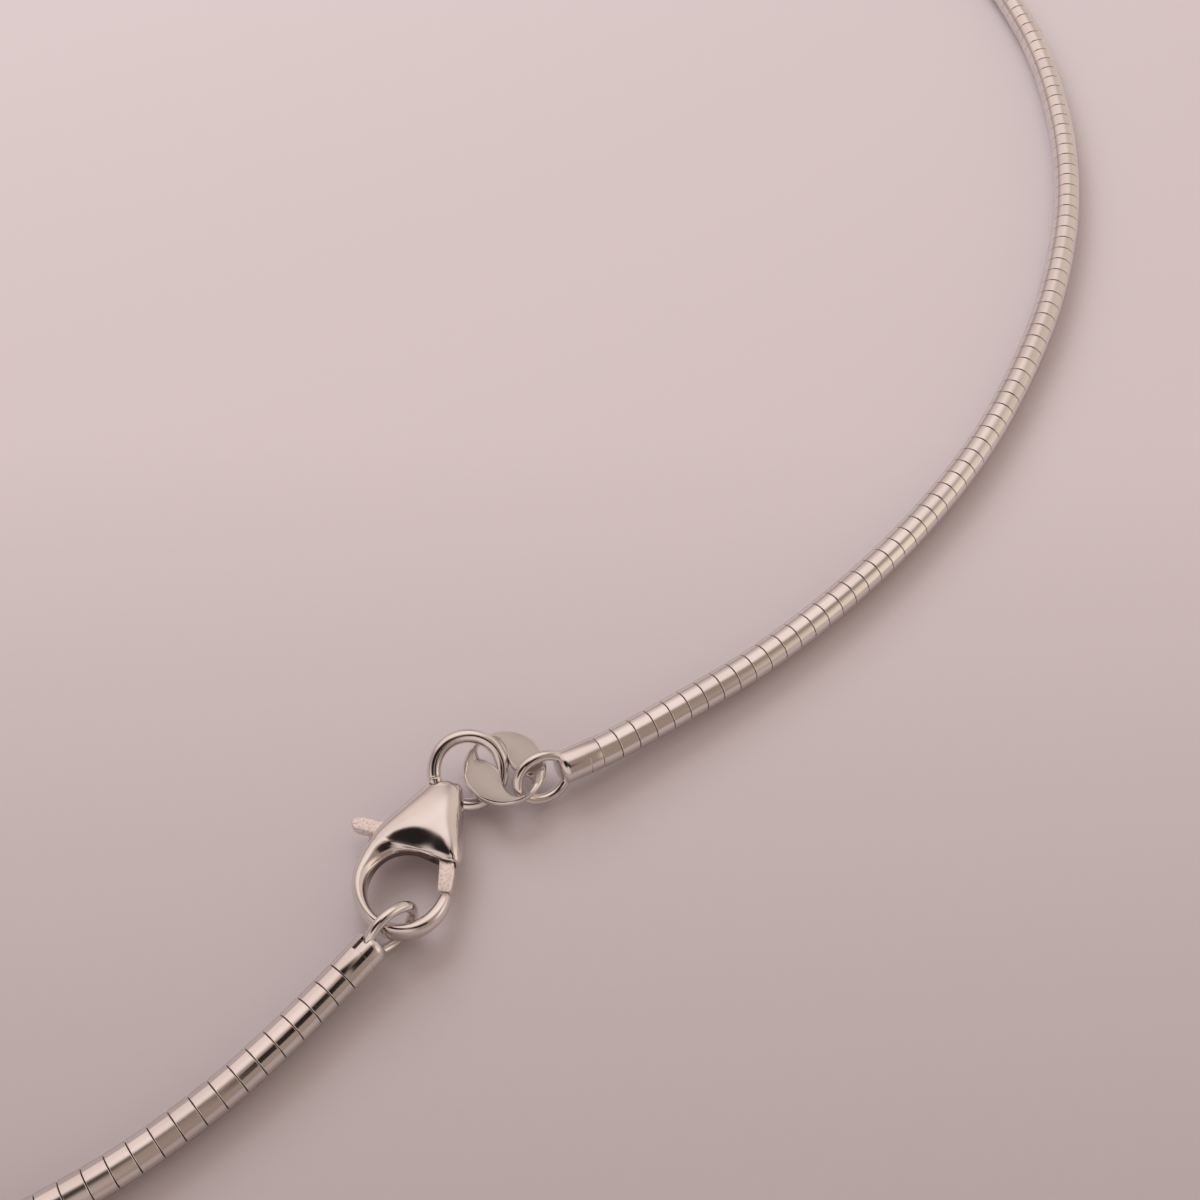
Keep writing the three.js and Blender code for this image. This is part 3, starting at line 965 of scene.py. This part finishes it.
cutLever()

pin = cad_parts["lever_pin"]
pin.data.materials.clear()
pin.data.materials.append(polished)


# Floor, light and camera

floorSize = 1.6
cardSettings = {
    "west": -20,
    "east": 13,
    "near": -95,
    "far": -27,
    "height": 80,
    "color": (0.02, 0.016, 0.015, 1),
}
lightSettings = {
    "place": (0.14, 0.33, 0.26),
    "size": (0.3, 0.24),
    "power": 0.8,
    "color": (0.95, 0.98, 1.0),
}


def layFloor():
    clearSelection()
    bpy.ops.mesh.primitive_plane_add(size=floorSize, location=(0, 0, 0))
    floor = named("floor")
    floor.data.materials.append(backdropPaper())


def darkCard(name):
    # a near black card above the camera, which only the polished metal mirrors
    west, east, near, far = (cardSettings[side] for side in ("west", "east", "near", "far"))
    spot = floorPoint + Vector(((west + east) / 2, (near + far) / 2, cardSettings["height"]))
    clearSelection()
    bpy.ops.mesh.primitive_plane_add(size=1, location=spot * mm)
    card = named(name)
    card.scale = ((east - west) * mm, (far - near) * mm, 1)
    card.data.materials.append(Finish(name).shade(Base_Color=cardSettings["color"], Roughness=1.0))
    card.visible_camera = False
    card.visible_diffuse = False
    card.visible_shadow = False


def keyLight():
    # a large soft light beyond the clasp, which the metal doesn't mirror
    spot = floorPoint * mm + Vector(lightSettings["place"])
    clearSelection()
    bpy.ops.object.light_add(type="AREA", location=spot)
    light = named("keyLight")
    light.data.shape = "RECTANGLE"
    light.data.size, light.data.size_y = lightSettings["size"]
    light.data.energy = lightSettings["power"]
    light.data.color = lightSettings["color"]
    light.visible_glossy = False
    light.rotation_mode = "QUATERNION"
    light.rotation_quaternion = (floorPoint * mm - spot).to_track_quat("-Z", "Y")


layFloor()
darkCard("middleCard")
keyLight()

# The studio's walls and soft boxes, as colours seen in each direction: aim, how wide, how soft, colour
roomColor = (0.36, 0.27, 0.225)
roomLights = [
    ((0.35, 0.93, 0.08), 75, 30, (0.45, 0.36, 0.335)),
    ((0.16, 0.72, 0.68), 24, 16, (0.93, 0.76, 0.70)),
    ((0.10, 0.42, 0.90), 22, 12, (0.93, 0.76, 0.70)),
    ((0.42, 0.22, 0.88), 24, 12, (1.05, 0.90, 0.84)),
    ((0.72, -0.66, 0.2), 24, 14, (1.0, 0.85, 0.72)),
    ((0.95, -0.1, 0.25), 26, 16, (0.72, 0.60, 0.52)),
    ((-0.85, -0.3, 0.3), 44, 12, (0.74, 0.62, 0.57)),
    ((-0.45, -0.05, 0.89), 23, 7, (0.018, 0.014, 0.013)),
]


def studioWorld():
    world = bpy.data.worlds.new("studio")
    bpy.context.scene.world = world
    world.use_nodes = True
    room = Nodes(world.node_tree)
    heading = room.node("ShaderNodeTexCoord", output="Generated")
    color = roomColor
    for aim, wide, soft, light in roomLights:
        facing = room.facing(heading, Vector(aim).normalized())
        edge, full = (math.cos(math.radians(angle)) for angle in (wide + soft, max(2, wide - soft)))
        inputs = {"Value": facing, "From Min": edge, "From Max": full}
        share = room.node("ShaderNodeMapRange", {"interpolation_type": "SMOOTHSTEP"}, inputs)
        color = room.tint(share, color, light)
    room.feed(room.tree.nodes["Background"].inputs["Color"], color)


studioWorld()
bpy.context.scene.view_settings.view_transform = "Standard"

cameraSettings = {
    "place": (-25.242, -33.518, 82.407),
    "forward": (0.43192, 0.39867, -0.80902),
    "lens": 48,
    "sensor": 36,
}

clearSelection()
bpy.ops.object.camera_add(location=(floorPoint + Vector(cameraSettings["place"])) * mm)
camera = named("camera")
camera.data.lens = cameraSettings["lens"]
camera.data.sensor_width = cameraSettings["sensor"]
camera.data.clip_start = 0.005
camera.data.clip_end = 10
camera.rotation_mode = "QUATERNION"
camera.rotation_quaternion = Vector(cameraSettings["forward"]).to_track_quat("-Z", "Y")
bpy.context.scene.camera = camera
print("stage set")
